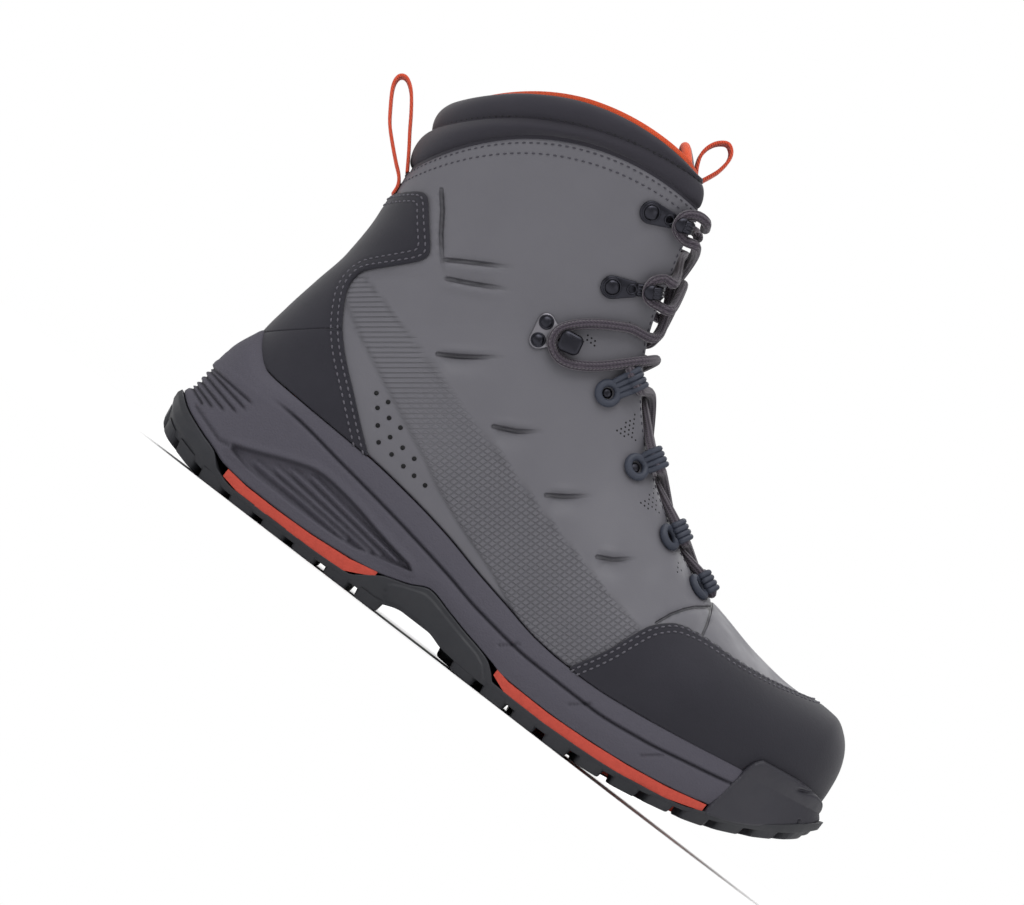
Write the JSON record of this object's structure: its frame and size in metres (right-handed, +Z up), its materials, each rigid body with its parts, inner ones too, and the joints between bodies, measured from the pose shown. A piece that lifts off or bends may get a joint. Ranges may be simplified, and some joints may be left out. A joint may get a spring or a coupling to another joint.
{
  "type": "wading boot",
  "caption": "Lace-up wading boot with padded collar, toe rand, lace hooks and lugged rubber sole.",
  "frame": {"origin": "centre of the bounding box in plan, on the plane the sole stands on", "axes": "+X to the toe, -Y to the lateral side, +Z up"},
  "size_m": [0.3314, 0.1162, 0.2445],
  "materials": {
    "upper": "matt pebbled synthetic cloth",
    "midsole": "fine pebbled foam",
    "insole": "soft cloth",
    "rubber": "matt moulded rubber",
    "orange_rubber": "fine pebbled rubber",
    "nubuck": "brushed nubuck",
    "collar": "matt padded cloth",
    "tongue": "smooth cloth",
    "webbing": "woven tape",
    "lace_loop": "ribbed webbing",
    "gunmetal": "satin gunmetal",
    "black_metal": "black nickel",
    "lace": "round braid"
  },
  "bodies": {
    "root": {"upper": "upper", "midsole": "midsole", "insole": "insole", "outsole": "rubber", "outsole_core": "orange_rubber", "heel_stripe": "orange_rubber", "forefoot_stripe": "orange_rubber", "toe_rand": "rubber", "toe_cap": "nubuck", "heel_counter": "nubuck", "collar_cuff": "collar", "tongue": "tongue", "tongue_pull_loop": "webbing", "heel_pull_loop": "webbing", "lace_loop_lateral_1": "lace_loop", "lace_loop_lateral_2": "lace_loop", "lace_loop_lateral_3": "lace_loop", "lace_loop_lateral_4": "lace_loop", "ankle_hook_lateral": "gunmetal", "speed_hook_lateral_1": "black_metal", "speed_hook_lateral_2": "black_metal", "lace_loop_medial_1": "lace_loop", "lace_loop_medial_2": "lace_loop", "lace_loop_medial_3": "lace_loop", "lace_loop_medial_4": "lace_loop", "ankle_hook_medial": "gunmetal", "speed_hook_medial_1": "black_metal", "speed_hook_medial_2": "black_metal", "lace_bar": "lace", "lace_cross_1": "lace", "lace_cross_2": "lace", "lace_cross_3": "lace", "lace_cross_4": "lace", "lace_cross_5": "lace", "lace_cross_6": "lace"}
  },
  "joints": []
}
